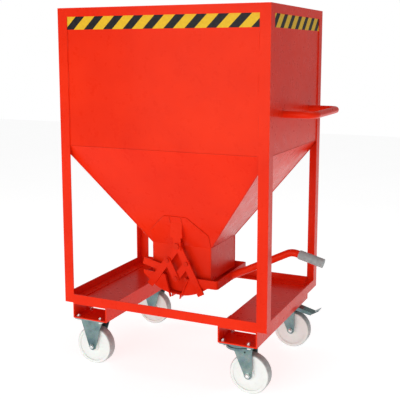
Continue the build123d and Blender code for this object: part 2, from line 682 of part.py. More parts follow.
with BuildPart() as grip:
    end_point = OUTLET.from_local_coords(Vector(*LEVER_END, 0))
    direction = Vector(-cos(DIP), 0, sin(DIP))
    with BuildSketch(Plane(end_point, z_dir=direction)):
        Circle(GRIP_RADIUS - GRIP_RIB_DEPTH)
        Circle(LEVER_TUBE / 2, mode=Mode.SUBTRACT)
    extrude(amount=GRIP_LENGTH)
    pitch = GRIP_LENGTH / GRIP_RIBS
    for index in range(GRIP_RIBS):
        with BuildSketch(Plane(end_point + direction * (index * pitch), z_dir=direction)):
            Circle(GRIP_RADIUS)
            Circle(LEVER_TUBE / 2, mode=Mode.SUBTRACT)
        extrude(amount=pitch / 2)
    cap = Plane(end_point, z_dir=-direction)
    with BuildSketch(cap):
        Circle(GRIP_RADIUS)
    extrude(amount=GRIP_RIB_DEPTH * 2)
finish(grip, "lever_grip")

# ---- Castors ----

CORNERS_LEFT = [(FIXED_X, -CASTOR_Y), (FIXED_X, CASTOR_Y)]
CORNERS_RIGHT = [(SWIVEL_X, -CASTOR_Y), (SWIVEL_X, CASTOR_Y)]


def leg_section(*wings):
    """A fork leg cut level: a flat strip at the axle, and each wing beside it pressed outward."""
    inner = [(-FORK_EYE, FORK_INNER), (FORK_EYE, FORK_INNER)]
    for wing in wings:
        edge = (wing, FORK_INNER + FORK_FLARE)
        inner = [edge] + inner if wing < 0 else inner + [edge]
    outer = [(x, y + FORK_STEEL) for x, y in reversed(inner)]
    return inner + outer


with BuildPart() as fixed_brackets:
    with BuildSketch(FLOOR.offset(WHEEL_RADIUS - FORK_EYE)):
        with Locations(Location((FIXED_X, -CASTOR_Y, 0), (0, 0, 180))):
            Polygon(*leg_section(-FIXED_WING, FIXED_WING), align=None)
    extrude(amount=PLATE_BOTTOM - WHEEL_RADIUS + FORK_EYE)
    with BuildSketch(Plane((BIN_X + FIXED_X, 0, WHEEL_RADIUS), x_dir=(1, 0, 0), z_dir=(0, -1, 0))):
        with BuildLine():
            Polyline(
                (-FORK_EYE, 0), (-FIXED_WING, PLATE_BOTTOM - WHEEL_RADIUS),
                (FIXED_WING, PLATE_BOTTOM - WHEEL_RADIUS), (FORK_EYE, 0), close=True,
            )
        make_face()
        Circle(FORK_EYE)
        Circle(AXLE_RADIUS, mode=Mode.SUBTRACT)
    extrude(amount=HALF_WIDTH, mode=Mode.INTERSECT)
    mirror(about=Plane((0, -CASTOR_Y, 0), z_dir=(0, 1, 0)))
    mirror(about=Plane.XZ)
    for y in (-CASTOR_Y, CASTOR_Y):
        with BuildSketch(FLOOR.offset(PLATE_BOTTOM)):
            with Locations((FIXED_X, y)):
                RectangleRounded(PLATE_LENGTH, PLATE_WIDTH, PLATE_STEEL)
                with GridLocations(BOLT_SPACING_X, BOLT_SPACING_Y, 2, 2):
                    Circle(BOLT_RADIUS + BOLT_FIT, mode=Mode.SUBTRACT)
        extrude(amount=PLATE_STEEL)
        with BuildSketch(FLOOR.offset(PLATE_BOTTOM)):
            with Locations((FIXED_X, y)):
                Rectangle(BOLT_SPACING_X - 2 * BOLT_HEAD - BOLT_FIT, 2 * FORK_OUTER)
        extrude(amount=-FORK_STEEL)
finish(fixed_brackets, "fixed_brackets")

with BuildPart() as swivel_plates:
    for x, y in CORNERS_RIGHT:
        with BuildSketch(FLOOR.offset(PLATE_BOTTOM)):
            with Locations((x, y)):
                RectangleRounded(PLATE_LENGTH, PLATE_WIDTH, PLATE_STEEL)
                with GridLocations(BOLT_SPACING_X, BOLT_SPACING_Y, 2, 2):
                    Circle(BOLT_RADIUS + BOLT_FIT, mode=Mode.SUBTRACT)
        extrude(amount=PLATE_STEEL)
        for radius, low, high in (
            (RACE_RADIUS, RACE_BOTTOM, PLATE_BOTTOM),
            (KINGPIN_RADIUS, CROWN_BOTTOM - RACE_GAP, RACE_BOTTOM),
            (KINGPIN_HEAD, CROWN_BOTTOM - RACE_GAP - HEAD_HEIGHT, CROWN_BOTTOM - RACE_GAP),
        ):
            with BuildSketch(FLOOR.offset(low)):
                with Locations((x, y)):
                    Circle(radius)
            extrude(amount=high - low)
finish(swivel_plates, "swivel_plates")


def swivel_fork(name, y):
    """Crown and two legs that turn about the kingpin and carry the wheel behind it."""
    leg_top = (CROWN_TOP + CROWN_BOTTOM) / 2
    with BuildPart() as fork:
        with BuildSketch(FLOOR.offset(WHEEL_RADIUS - FORK_EYE)):
            with Locations((SWIVEL_X + TRAIL, y)):
                Polygon(*leg_section(-SWIVEL_WING), align=None)
        extrude(amount=leg_top - WHEEL_RADIUS + FORK_EYE)
        axle = Plane((BIN_X + SWIVEL_X + TRAIL, y, WHEEL_RADIUS), x_dir=(1, 0, 0), z_dir=(0, -1, 0))
        with BuildSketch(axle):
            with BuildLine():
                Polyline(
                    (-FORK_EYE, 0), (-SWIVEL_WING, leg_top - WHEEL_RADIUS),
                    (FORK_EYE, leg_top - WHEEL_RADIUS), (FORK_EYE, 0), close=True,
                )
            make_face()
            Circle(FORK_EYE)
            Circle(AXLE_RADIUS, mode=Mode.SUBTRACT)
            with Locations((PEDAL_PIN_X - TRAIL, PEDAL_PIN_Z - WHEEL_RADIUS)):
                Circle(PEDAL_PIN, mode=Mode.SUBTRACT)
        extrude(amount=HALF_WIDTH, both=True, mode=Mode.INTERSECT)
        mirror(about=axle)
        with BuildSketch(FLOOR.offset(CROWN_BOTTOM)):
            with Locations((SWIVEL_X, y)):
                Circle(RACE_RADIUS + CROWN_MARGIN)
                Circle(KINGPIN_RADIUS + RUNNING_FIT, mode=Mode.SUBTRACT)
        extrude(amount=CROWN_TOP - CROWN_BOTTOM)
    finish(fork, name)


def axles(name, places):
    """Axle bolts with a hexagon head at one end and a nut at the other."""
    with BuildPart() as bolts:
        for x, y in places:
            plane = Plane((BIN_X + x, y, WHEEL_RADIUS), x_dir=(1, 0, 0), z_dir=(0, -1, 0))
            with BuildSketch(plane):
                Circle(AXLE_RADIUS)
            extrude(amount=FORK_OUTER, both=True)
            for start, tall in ((FORK_OUTER, HEAD_HEIGHT), (-FORK_OUTER, -HEAD_HEIGHT)):
                with BuildSketch(plane.offset(start)):
                    RegularPolygon(AXLE_HEAD, 6)
                extrude(amount=tall)
    finish(bolts, name)


def wheel(name, x, y):
    """A solid plastic wheel with a rounded tread, a thin web and a wide hub."""
    plane = Plane((BIN_X + x, y, WHEEL_RADIUS), x_dir=(1, 0, 0), z_dir=(0, -1, 0))
    half = WHEEL_WIDTH / 2
    with BuildPart() as roller:
        with BuildSketch(plane):
            Circle(WHEEL_RADIUS)
            Circle(AXLE_RADIUS + RUNNING_FIT, mode=Mode.SUBTRACT)
        extrude(amount=half, both=True)
        rims = roller.edges().filter_by(GeomType.CIRCLE).sort_by(SortBy.RADIUS)[-2:]
        fillet(rims, WHEEL_ROUNDING)
        for side in (-1, 1):
            with BuildSketch(plane.offset(side * WHEEL_WEB / 2)):
                Circle(WHEEL_RADIUS - WHEEL_RIM)
                Circle(HUB_RADIUS, mode=Mode.SUBTRACT)
            extrude(amount=side * half, mode=Mode.SUBTRACT)
            with BuildSketch(plane.offset(side * half)):
                Circle(HUB_RADIUS)
                Circle(AXLE_RADIUS + RUNNING_FIT, mode=Mode.SUBTRACT)
            extrude(amount=side * (HUB_WIDTH - WHEEL_WIDTH) / 2)
    finish(roller, name)


for side_y, place in ((-1, "front"), (1, "rear")):
    swivel_fork(f"swivel_fork_{place}", side_y * CASTOR_Y)
    axles(f"swivel_axle_{place}", [(SWIVEL_X + TRAIL, side_y * CASTOR_Y)])
    wheel(f"wheel_{place}_left", FIXED_X, side_y * CASTOR_Y)
    wheel(f"wheel_{place}_right", SWIVEL_X + TRAIL, side_y * CASTOR_Y)

axles("fixed_axles", CORNERS_LEFT)

# All castor bolts, with heads below the plates and nuts inside the channels
with BuildPart() as castor_bolts:
    for x, y in CORNERS_LEFT + CORNERS_RIGHT:
        for radius, low, high in (
            (BOLT_RADIUS, PLATE_BOTTOM, CASTOR_HEIGHT + CHANNEL_STEEL + BOLT_HEAD),
            (BOLT_HEAD, PLATE_BOTTOM - HEAD_HEIGHT, PLATE_BOTTOM),
            (BOLT_HEAD, CASTOR_HEIGHT + CHANNEL_STEEL, CASTOR_HEIGHT + CHANNEL_STEEL + HEAD_HEIGHT),
        ):
            with BuildSketch(FLOOR.offset(low)):
                with Locations((x, y)):
                    with GridLocations(BOLT_SPACING_X, BOLT_SPACING_Y, 2, 2):
                        if radius == BOLT_HEAD:
                            RegularPolygon(radius, 6)
                        else:
                            Circle(radius)
            extrude(amount=high - low)
finish(castor_bolts, "castor_bolts")

# Brake pedal on the rear swivel castor, hinged on a pin between the fork legs
KNEE_X = PEDAL_PIN_X + PEDAL_ARM
TREAD_X = KNEE_X + PEDAL_KNEE
TREAD_Z = PEDAL_PIN_Z + PEDAL_STEP
TOE_X = TREAD_X + TREAD_LENGTH
TOE_Z = TREAD_Z - TREAD_DROP
TIP_X = TOE_X + TREAD_LIP
TIP_Z = TOE_Z + TREAD_RISE
PEDAL_LINE = (
    (PEDAL_PIN_X, PEDAL_PIN_Z), (KNEE_X, PEDAL_PIN_Z), (TREAD_X, TREAD_Z),
    (TOE_X, TOE_Z), (TIP_X, TIP_Z),
)

with BuildPart() as pedal:
    hinge = Plane((BIN_X + SWIVEL_X, CASTOR_Y, 0), x_dir=(1, 0, 0), z_dir=(0, -1, 0))
    with BuildSketch(hinge):
        with Locations((PEDAL_PIN_X, PEDAL_PIN_Z)):
            Circle(PEDAL_PIN - RUNNING_FIT)
    extrude(amount=FORK_OUTER, both=True)
    with BuildSketch(hinge):
        with BuildLine():
            upper = [(x, z + PEDAL_STEEL / 2) for x, z in PEDAL_LINE]
            lower = [(x, z - PEDAL_STEEL / 2) for x, z in reversed(PEDAL_LINE)]
            Polyline(*upper, *lower, close=True)
        make_face()
    extrude(amount=PEDAL_WIDTH / 2, both=True)
    for side in (-1, 1):
        cheek = hinge.offset(side * (PEDAL_WIDTH - PEDAL_STEEL) / 2)
        with BuildSketch(cheek):
            with BuildLine():
                Polyline(
                    (KNEE_X, PEDAL_PIN_Z), (TREAD_X, TREAD_Z), (TOE_X, TOE_Z),
                    (TOE_X - CHEEK_DEPTH, TOE_Z - CHEEK_DEPTH),
                    (TREAD_X + TREAD_LENGTH / 2, TOE_Z - CHEEK_DEPTH / 2), close=True,
                )
            make_face()
        extrude(amount=PEDAL_STEEL / 2, both=True)
    with BuildSketch(hinge):
        with Locations((PEDAL_PIN_X + 1.5 * SHOE_LENGTH, (PEDAL_PIN_Z + SHOE_Z) / 2)):
            Rectangle(SHOE_LENGTH, PEDAL_PIN_Z - SHOE_Z)
    extrude(amount=SHOE_WIDTH / 2, both=True)
finish(pedal, "brake_pedal")
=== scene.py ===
import json
import math
import random

import bmesh
import bpy
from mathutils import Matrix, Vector

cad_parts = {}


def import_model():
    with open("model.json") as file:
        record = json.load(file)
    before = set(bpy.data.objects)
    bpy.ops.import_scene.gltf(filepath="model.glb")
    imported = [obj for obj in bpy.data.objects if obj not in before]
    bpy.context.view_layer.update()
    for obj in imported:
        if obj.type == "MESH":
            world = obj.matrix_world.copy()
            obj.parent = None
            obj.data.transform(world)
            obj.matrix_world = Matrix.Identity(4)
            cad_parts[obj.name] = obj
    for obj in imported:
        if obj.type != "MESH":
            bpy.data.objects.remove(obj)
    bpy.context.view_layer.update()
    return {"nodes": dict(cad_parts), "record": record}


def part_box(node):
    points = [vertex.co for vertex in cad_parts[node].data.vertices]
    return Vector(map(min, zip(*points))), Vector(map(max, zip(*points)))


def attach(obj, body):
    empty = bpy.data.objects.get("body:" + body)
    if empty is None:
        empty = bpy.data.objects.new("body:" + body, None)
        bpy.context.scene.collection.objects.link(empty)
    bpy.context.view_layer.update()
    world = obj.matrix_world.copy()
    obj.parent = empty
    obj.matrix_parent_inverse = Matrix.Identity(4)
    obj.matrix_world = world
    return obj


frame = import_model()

NODES = frame["nodes"]
MM = 0.001

# ---- Places read from the frame ----


def low(node):
    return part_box(node)[0]


def high(node):
    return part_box(node)[1]


def centre(node):
    return (low(node) + high(node)) / 2


BIN_X = (low("post_front_left").x + high("post_front_right").x) / 2

# ---- Shader helpers ----


def add(tree, kind, props=None, **values):
    """A shader node with its properties set and its inputs set or linked, by name."""
    node = tree.nodes.new(kind)
    for key, value in (props or {}).items():
        setattr(node, key, value)
    for key, value in values.items():
        name = key.replace("_", " ")
        socket = node.inputs[int(name[5:])] if name.startswith("input") else node.inputs[name]
        if isinstance(value, bpy.types.NodeSocket):
            tree.links.new(value, socket)
        else:
            socket.default_value = value
    return node


def math_node(tree, operation, a, b=0.0):
    return add(tree, "ShaderNodeMath", {"operation": operation}, input0=a, input1=b).outputs[0]


def noise(tree, where, scale, detail=3.0, roughness=0.55):
    node = add(tree, "ShaderNodeTexNoise", Vector=where, Scale=scale, Detail=detail, Roughness=roughness)
    return node.outputs["Fac"]


def ramp(tree, value, stops):
    """A colour ramp with the given (position, colour) stops."""
    node = add(tree, "ShaderNodeValToRGB", Fac=value)
    elements = node.color_ramp.elements
    while len(elements) < len(stops):
        elements.new(1.0)
    for element, (position, colour) in zip(elements, stops):
        element.position = position
        element.color = (*colour, 1.0)
    return node.outputs["Color"]


def grey(value):
    return (value, value, value)


def span(tree, value, low_in, high_in, low_out, high_out):
    node = add(tree, "ShaderNodeMapRange", Value=value, From_Min=low_in, From_Max=high_in,
               To_Min=low_out, To_Max=high_out)
    return node.outputs["Result"]


def mix(tree, factor, colour_a, colour_b, blend="MIX"):
    node = tree.nodes.new("ShaderNodeMix")
    node.data_type = "RGBA"
    node.blend_type = blend
    values = {0: factor, 6: colour_a, 7: colour_b}
    for index, value in values.items():
        socket = node.inputs[index]
        if isinstance(value, bpy.types.NodeSocket):
            tree.links.new(value, socket)
        elif isinstance(value, tuple):
            socket.default_value = (*value, 1.0)
        else:
            socket.default_value = value
    return node.outputs[2]


def bump(tree, height, distance, strength=1.0, normal=None):
    node = add(tree, "ShaderNodeBump", Height=height, Distance=distance, Strength=strength)
    if normal is not None:
        tree.links.new(normal, node.inputs["Normal"])
    return node.outputs["Normal"]


def material(name):
    """A new material with only its output and Principled shader, and its object coordinates."""
    made = bpy.data.materials.new(name)
    made.use_nodes = True
    tree = made.node_tree
    shader = tree.nodes["Principled BSDF"]
    where = add(tree, "ShaderNodeTexCoord")
    return made, tree, shader, where


def wire(tree, shader, **values):
    for key, value in values.items():
        socket = shader.inputs[key.replace("_", " ")]
        if isinstance(value, bpy.types.NodeSocket):
            tree.links.new(value, socket)
        else:
            socket.default_value = value


# ---- Materials ----


def paint(name, bright, deep, wave=0.0006):
    """Gloss enamel on steel: uneven film, orange peel, slightly wavy sheet and dull handling marks."""
    made, tree, shader, where = material(name)
    place = where.outputs["Object"]
    film = noise(tree, place, 3.2, 4.0)
    scuffs = noise(tree, place, 26.0, 8.0, 0.72)
    peel = noise(tree, place, 420.0, 2.0)
    sheet = noise(tree, place, 4.5, 1.0)
    specks = noise(tree, place, 130.0, 2.0)
    colour = mix(tree, span(tree, film, 0.35, 0.65, 0.0, 1.0), deep, bright)
    dust = span(tree, scuffs, 0.64, 0.82, 0.0, 0.12)
    colour = mix(tree, dust, colour, tuple(0.75 * c + 0.03 for c in bright))
    chips = span(tree, specks, 0.775, 0.790, 0.0, 0.16)
    colour = mix(tree, chips, colour, tuple(0.35 * c for c in deep))
    gloss = span(tree, scuffs, 0.35, 0.75, 0.24, 0.44)
    surface = bump(tree, sheet, wave, 0.6)
    surface = bump(tree, peel, 0.00012, 0.5, surface)
    wire(tree, shader, Base_Color=colour, Roughness=gloss, Normal=surface, IOR=1.45)
    shader.inputs["Specular IOR Level"].default_value = 0.30
    shader.inputs["Specular Tint"].default_value = (1.0, 0.34, 0.22, 1.0)
    shader.inputs["Coat Weight"].default_value = 0.03
    shader.inputs["Coat Roughness"].default_value = 0.12
    return made


def zinc(name, dark, middle, warm):
    """Zinc plating: a cool passivated tint, fine spangle and a drawn grain."""
    made, tree, shader, where = material(name)
    place = where.outputs["Object"]
    cells = add(tree, "ShaderNodeTexVoronoi", Vector=place, Scale=160.0).outputs["Color"]
    tint = noise(tree, place, 14.0, 3.0)
    grain = noise(tree, place, 700.0, 2.0)
    colour = ramp(tree, tint, ((0.35, dark), (0.55, middle), (0.75, warm)))
    colour = mix(tree, 0.08, colour, cells, "OVERLAY")
    wire(tree, shader, Base_Color=colour, Roughness=span(tree, grain, 0.3, 0.7, 0.18, 0.34), Metallic=1.0)
    wire(tree, shader, Normal=bump(tree, grain, 0.00008, 0.5))
    return made


def polyamide():
    """Off-white moulded wheel: turning rings, a grey rolled tread and scuffs."""
    made, tree, shader, where = material("polyamide")
    parts = add(tree, "ShaderNodeSeparateXYZ", Vector=where.outputs["Generated"])
    across = math_node(tree, "SUBTRACT", parts.outputs["X"], 0.5)
    up = math_node(tree, "SUBTRACT", parts.outputs["Z"], 0.5)
    across_squared = math_node(tree, "MULTIPLY", across, across)
    up_squared = math_node(tree, "MULTIPLY", up, up)
    radius = math_node(tree, "SQRT", math_node(tree, "ADD", across_squared, up_squared))
    rings = math_node(tree, "SINE", math_node(tree, "MULTIPLY", radius, 420.0))
    dirt = noise(tree, where.outputs["Object"], 45.0, 7.0, 0.7)
    tread = span(tree, radius, 0.470, 0.492, 0.0, 1.0)
    rolled = math_node(tree, "MULTIPLY", tread, span(tree, dirt, 0.3, 0.6, 0.55, 1.0))
    clean = mix(tree, span(tree, dirt, 0.5, 0.75, 0.0, 0.35), (0.80, 0.82, 0.79), (0.62, 0.63, 0.58))
    colour = mix(tree, rolled, clean, (0.33, 0.34, 0.34))
    wire(tree, shader, Base_Color=colour, Roughness=span(tree, dirt, 0.3, 0.7, 0.34, 0.55))
    surface = bump(tree, rings, 0.00010, 0.35)
    wire(tree, shader, Normal=bump(tree, dirt, 0.0002, 0.4, surface))
    shader.inputs["Subsurface Weight"].default_value = 0.08
    return made


def rubber_grip():
    """Grey ribbed sleeve with a dry, slightly polished skin."""
    made, tree, shader, where = material("grip_rubber")
    place = where.outputs["Object"]
    wear = noise(tree, place, 60.0, 6.0, 0.7)
    skin = noise(tree, place, 900.0, 2.0)
    colour = mix(tree, span(tree, wear, 0.35, 0.7, 0.0, 1.0), (0.27, 0.29, 0.29), (0.40, 0.42, 0.41))
    wire(tree, shader, Base_Color=colour, Roughness=span(tree, wear, 0.3, 0.7, 0.5, 0.72))
    wire(tree, shader, Normal=bump(tree, skin, 0.00012, 0.6))
    return made


TAPE_PITCH = 87 * MM
TAPE_BLACK = 0.46
TAPE_START = 43 * MM
TAPE_SPARE = 10.0           # whole pitches added so that the stripe count stays above zero


def hazard_tape():
    """Yellow and black stripes that lean right on every side, with slight film waves."""
    made, tree, shader, where = material("hazard_tape")
    place = add(tree, "ShaderNodeSeparateXYZ", Vector=where.outputs["Object"])
    facing = add(tree, "ShaderNodeSeparateXYZ", Vector=where.outputs["Normal"])
    toward_front = math_node(tree, "MULTIPLY", facing.outputs["Y"], -1.0)
    on_x = math_node(tree, "MULTIPLY", place.outputs["X"], toward_front)
    on_y = math_node(tree, "MULTIPLY", place.outputs["Y"], facing.outputs["X"])
    along = math_node(tree, "ADD", on_x, on_y)
    lean = math_node(tree, "SUBTRACT", along, place.outputs["Z"])
    first = TAPE_START + TAPE_SPARE * TAPE_PITCH + low("hazard_tape").z
    turns = math_node(tree, "DIVIDE", math_node(tree, "ADD", lean, first), TAPE_PITCH)
    phase = math_node(tree, "FRACT", turns)
    black = span(tree, phase, TAPE_BLACK - 0.006, TAPE_BLACK + 0.006, 1.0, 0.0)
    grain = noise(tree, where.outputs["Object"], 90.0, 5.0, 0.65)
    yellow = mix(tree, span(tree, grain, 0.35, 0.7, 0.0, 1.0), (0.76, 0.47, 0.022), (0.66, 0.39, 0.018))
    ink = mix(tree, span(tree, grain, 0.4, 0.7, 0.0, 1.0), (0.010, 0.010, 0.013), (0.022, 0.022, 0.024))
    wire(tree, shader, Base_Color=mix(tree, black, yellow, ink))
    wire(tree, shader, Roughness=span(tree, grain, 0.3, 0.7, 0.28, 0.42))
    wire(tree, shader, Normal=bump(tree, noise(tree, where.outputs["Object"], 30.0, 2.0), 0.0004, 0.4))
    shader.inputs["Specular IOR Level"].default_value = 0.10
    return made


RED = paint("enamel_red", (0.80, 0.024, 0.004), (0.72, 0.017, 0.003))
RED_SEAM = paint("enamel_seam", (0.76, 0.030, 0.008), (0.60, 0.016, 0.004), 0.0002)
# The plating's own cool tint, with colours set far darker than bare zinc: painted shade that stands in for
# dark reflections
SHADED_ZINC = zinc("zinc_plating_painted_shade", (0.10, 0.17, 0.18), (0.20, 0.29, 0.29), (0.34, 0.39, 0.36))
SLOT_MATERIALS = {
    "paint": RED, "painted_bolts": RED_SEAM, "zinc": SHADED_ZINC, "polyamide": polyamide(),
    "grip": rubber_grip(), "tape": hazard_tape(),
}
BRIGHT_ZINC = zinc("zinc_bright", (0.66, 0.70, 0.70), (0.78, 0.80, 0.80), (0.80, 0.80, 0.76))


def dress(obj, made):
    obj.data.materials.clear()
    obj.data.materials.append(made)


def soften(obj, width, segments=2):
    """Rounded edges, as rolled, folded or moulded edges have, without changing the CAD mesh."""
    bevel = obj.modifiers.new("edge", "BEVEL")
    bevel.width = width
    bevel.segments = segments
    bevel.limit_method = "ANGLE"
    bevel.angle_limit = math.radians(35)
    bevel.harden_normals = True


EDGE = {"paint": 1.0 * MM, "painted_bolts": 0.6 * MM, "zinc": 0.8 * MM, "polyamide": 0.8 * MM}
NODE_SLOTS = {part["node"]: part["material_slot"] for part in frame["record"]["subparts"]}
for name, obj in NODES.items():
    slot = NODE_SLOTS[name]
    dress(obj, SLOT_MATERIALS[slot])
    if slot in EDGE:
        soften(obj, EDGE[slot])

# ---- Mesh helpers ----

RNG = random.Random(7)


def mesh_object(name, bm, made, body):
    """A smooth-shaded object made from a bmesh, which moves with the body."""
    bmesh.ops.recalc_face_normals(bm, faces=bm.faces)
    mesh = bpy.data.meshes.new(name)
    bm.to_mesh(mesh)
    bm.free()
    for face in mesh.polygons:
        face.use_smooth = True
    obj = bpy.data.objects.new(name, mesh)
    bpy.context.scene.collection.objects.link(obj)
    mesh.materials.append(made)
    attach(obj, body)
    return obj


RIPPLE = 3.6 * MM
BEAD_SIDES = 8


def bead(bm, path, length, radius, closed=False):
    """A weld bead along path(0..1): a tube with overlapping scallops and a wandering width."""
    ripples = max(2, round(length / RIPPLE))
    steps = ripples * 3
    rings = []
    for step in range(steps if closed else steps + 1):
        share = step / steps
        axis = (path(share + 0.001) - path(share - 0.001)).normalized()
        side = axis.cross(Vector((0.31, 0.17, 0.93))).normalized()
        other = axis.cross(side)
        scallop = 0.84 + 0.16 * abs(math.sin(math.pi * share * ripples))
        taper = 1.0 if closed else min(1.0, 0.25 + min(share, 1 - share) * length / (1.5 * radius))
        size = radius * scallop * taper * (0.94 + 0.12 * RNG.random())
        middle = path(share)
        ring = []
        for index in range(BEAD_SIDES):
            angle = 2 * math.pi * index / BEAD_SIDES
            ring.append(bm.verts.new(middle + (side * math.cos(angle) + other * math.sin(angle)) * size))
        rings.append(ring)
    pairs = list(zip(rings, rings[1:] + rings[:1])) if closed else list(zip(rings, rings[1:]))
    for one, two in pairs:
        for index in range(BEAD_SIDES):
            following = (index + 1) % BEAD_SIDES
            bm.faces.new((one[index], one[following], two[following], two[index]))
    if not closed:
        bm.faces.new(rings[0])
        bm.faces.new(rings[-1])


def welds(name, runs, body, radius, rings=()):
    """Weld beads along straight runs, and round circles given as centre, axis and radius."""
    bm = bmesh.new()
    for start, end in runs:
        start, end = Vector(start), Vector(end)
        bead(bm, lambda share: start.lerp(end, share), (end - start).length, radius)
    for middle, axis, size in rings:
        middle, axis = Vector(middle), Vector(axis).normalized()
        side = axis.orthogonal().normalized()
        other = axis.cross(side)

        def circle(share):
            turn = 2 * math.pi * share
            return middle + (side * math.cos(turn) + other * math.sin(turn)) * size

        bead(bm, circle, 2 * math.pi * size, radius, closed=True)
    obj = mesh_object(name, bm, RED_SEAM, body)


def chain(points, closed=False):
    """Straight runs from each point to the next."""
    following = points[1:] + points[:1] if closed else points[1:]
    return list(zip(points, following))


def stitched(start, end, run, gap):
    """Start and end points of intermittent welds along a line."""
    start, end = Vector(start), Vector(end)
    axis = (end - start).normalized()
    length = (end - start).length
    runs = []
    at = 0.0
    while at + run * 0.5 < length:
        runs.append((start + axis * at, start + axis * min(at + run, length)))
        at += run + gap
    return runs


# ---- Welds on the bin ----

POST_BEAD = 2.8 * MM
HANDLE_BEAD = 2.4 * MM
SEAM_BEAD = 2.2 * MM
BASE_BEAD = 2.0 * MM
FOLD_BEAD = 1.5 * MM
STITCH_RUN = 75 * MM
STITCH_GAP = 75 * MM
LEG = 42 * MM               # from a post's outer face to the welds on its inner edge
TAPE_CLEARANCE = 10 * MM    # from the tape down to the first stitch
wall_low = low("wall_front")
post_low = low("post_front_left")
post_high = high("post_rear_right")
outer = {-1: post_low, 1: post_high}
skin_y = {-1: low("wall_front").y, 1: high("wall_rear").y}
skin_x = {-1: low("wall_left").x, 1: high("wall_right").x}
fold_z = wall_low.z
weld_top = low("hazard_tape").z - TAPE_CLEARANCE

post_runs = []
for sx in (-1, 1):
    for sy in (-1, 1):
        x = outer[sx].x - sx * LEG
        y = outer[sy].y - sy * LEG
        for at_x, at_y in ((x, skin_y[sy]), (skin_x[sx], y)):
            post_runs += stitched((at_x, at_y, weld_top), (at_x, at_y, fold_z), STITCH_RUN, STITCH_GAP)
welds("welds_posts", post_runs, "bin", POST_BEAD)

chute_low, chute_high = low("chute_front"), high("chute_rear")
chute_top = low("hopper_front").z
seam_runs = []
for sx, chute_x in ((-1, chute_low.x), (1, chute_high.x)):
    for sy, chute_y in ((-1, chute_low.y), (1, chute_high.y)):
        seam_runs.append(((skin_x[sx], skin_y[sy], fold_z), (chute_x, chute_y, chute_top)))
        seam_runs.append(((chute_x, chute_y, chute_top), (chute_x, chute_y, low("chute_left").z)))
welds("welds_hopper_corners", seam_runs, "bin", SEAM_BEAD)

ring_runs = []
for sx, chute_x in ((-1, chute_low.x), (1, chute_high.x)):
    ring_runs.append(((chute_x, chute_low.y, chute_top), (chute_x, chute_high.y, chute_top)))
    ring_runs.append(((skin_x[sx], skin_y[-1] + LEG, fold_z), (skin_x[sx], skin_y[1] - LEG, fold_z)))
for sy, chute_y in ((-1, chute_low.y), (1, chute_high.y)):
    ring_runs.append(((chute_low.x, chute_y, chute_top), (chute_high.x, chute_y, chute_top)))
    ring_runs.append(((skin_x[-1] + LEG, skin_y[sy], fold_z), (skin_x[1] - LEG, skin_y[sy], fold_z)))
welds("welds_folds", ring_runs, "bin", FOLD_BEAD)

# ---- Welds on the reinforcing plates, hangers, handle, base and jaws ----

SHOULDER = 56 * MM          # height at which the reinforcing plates start to lean in
PLATE_TOP = 50 * MM         # half of their top edge
PLATE_PROUD = 1.5 * MM      # of the plates' beads above the hopper face
HANGER_FOOT = 42 * MM       # lower end of the hanger welds above the chute
HANGER_PROUD = 3.5 * MM     # of the hangers' beads above the hopper face
HANGER_INSET = 2 * MM       # from the plates' top edge down to the hangers' beads
CHANNEL_RUN = 90 * MM       # weld from each base rail along a channel's top edge
POST_STEP = 3 * MM          # from a post's outer face in to the upper end of its foot weld
POST_FOOT = 4 * MM          # height above the channel of that weld's lower end
HANDLE_STEP = 0.6 * MM      # of the round bead outside the push bar
LEVER_RING = 16.5 * MM      # radius of the bead round the lever's root
slope = (chute_low.y - skin_y[-1]) / (fold_z - chute_top)
plate_half = (high("doubler_plates").x - low("doubler_plates").x) / 2
plate_rise = high("doubler_plates").z - chute_top


def on_slope(sy, x, rise, proud=0.0):
    """A point on the front or rear hopper face, by its height above the chute."""
    return (BIN_X + x, sy * (chute_high.y + rise * slope + proud), chute_top + rise)


plate_runs, hanger_runs = [], []
hanger_half = (high("outlet_hangers").x - low("outlet_hangers").x) / 2
for sy in (-1, 1):
    outline = [(-plate_half, 0), (-plate_half, SHOULDER), (-PLATE_TOP, plate_rise)]
    outline += [(-x, rise) for x, rise in reversed(outline)]
    plate_runs += chain([on_slope(sy, x, rise, PLATE_PROUD) for x, rise in outline])
    for sx in (-1, 1):
        side_x = sx * hanger_half
        ends = (HANGER_FOOT, plate_rise - HANGER_INSET)
        hanger_runs.append(tuple(on_slope(sy, side_x, rise, HANGER_PROUD) for rise in ends))
welds("welds_plates", plate_runs, "bin", SEAM_BEAD)
welds("welds_hangers", hanger_runs, "bin", SEAM_BEAD)

handle_low, handle_high = low("push_handle"), high("push_handle")
tube = (handle_high.z - handle_low.z) / 2
feet = [((skin_x[1], y, centre("push_handle").z), (1, 0, 0), tube + HANDLE_STEP)
        for y in (handle_low.y + tube, handle_high.y - tube)]
welds("welds_handle", [], "bin", HANDLE_BEAD, feet)

base_runs = []
channel_top = high("channel_left").z
for side in ("left", "right"):
    for x in (low(f"channel_{side}").x, high(f"channel_{side}").x):
        for sy in (-1, 1):
            inner = sy * (high("rail_rear").y - LEG)
            base_runs.append(((x, inner, channel_top), (x, inner - sy * CHANNEL_RUN, channel_top)))
for sx in (-1, 1):
    for sy in (-1, 1):
        corner_x, corner_y = outer[sx].x - sx * LEG, outer[sy].y - sy * LEG
        rail_top = high("rail_front").z
        upper = (corner_x, outer[sy].y - sy * POST_STEP, rail_top)
        base_runs.append((upper, (corner_x, corner_y, channel_top + POST_FOOT)))
welds("welds_base", base_runs, "bin", BASE_BEAD)

yoke_low, yoke_high = low("yoke"), high("yoke")
lever_root = Vector((yoke_high.x, 0, (yoke_low.z + yoke_high.z) / 2))
welds("welds_lever", [], "jaw_right", SEAM_BEAD, [(lever_root, (1, 0, 0), LEVER_RING)])

# ---- Domed caps on the axle ends ----

CAP_RADIUS = 8.2 * MM
CAP_HEIGHT = 7 * MM
CAP_SEAT = 0.5 * MM         # how far the skirt reaches over the axle's end
DOME_SIDES = 32
